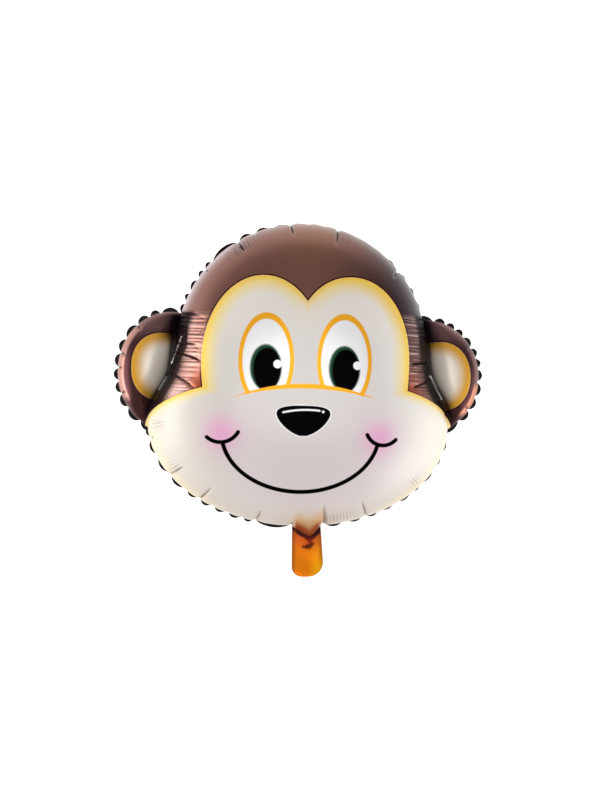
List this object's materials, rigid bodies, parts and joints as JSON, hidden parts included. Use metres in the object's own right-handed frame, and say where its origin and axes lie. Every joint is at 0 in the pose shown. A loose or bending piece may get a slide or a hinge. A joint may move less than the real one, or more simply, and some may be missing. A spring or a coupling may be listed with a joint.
{
  "type": "monkey foil balloon",
  "caption": "Gas-filled foil party balloon shaped as a monkey's head, with two ears, a puckered weld flange and a flat filling neck below the chin.",
  "frame": {"origin": "middle of the outline's box, on the surface that the balloon's back rests on", "axes": "+Z out of the face, up when the balloon lies on its back; +Y to the crown of the head; +X across the head to the right as one looks at the face"},
  "size_m": [0.4662, 0.4514, 0.224],
  "materials": {
    "printed_foil": "satin printed metallised film, brown with a cream face"
  },
  "bodies": {
    "root": {"balloon": "printed_foil"}
  },
  "joints": []
}
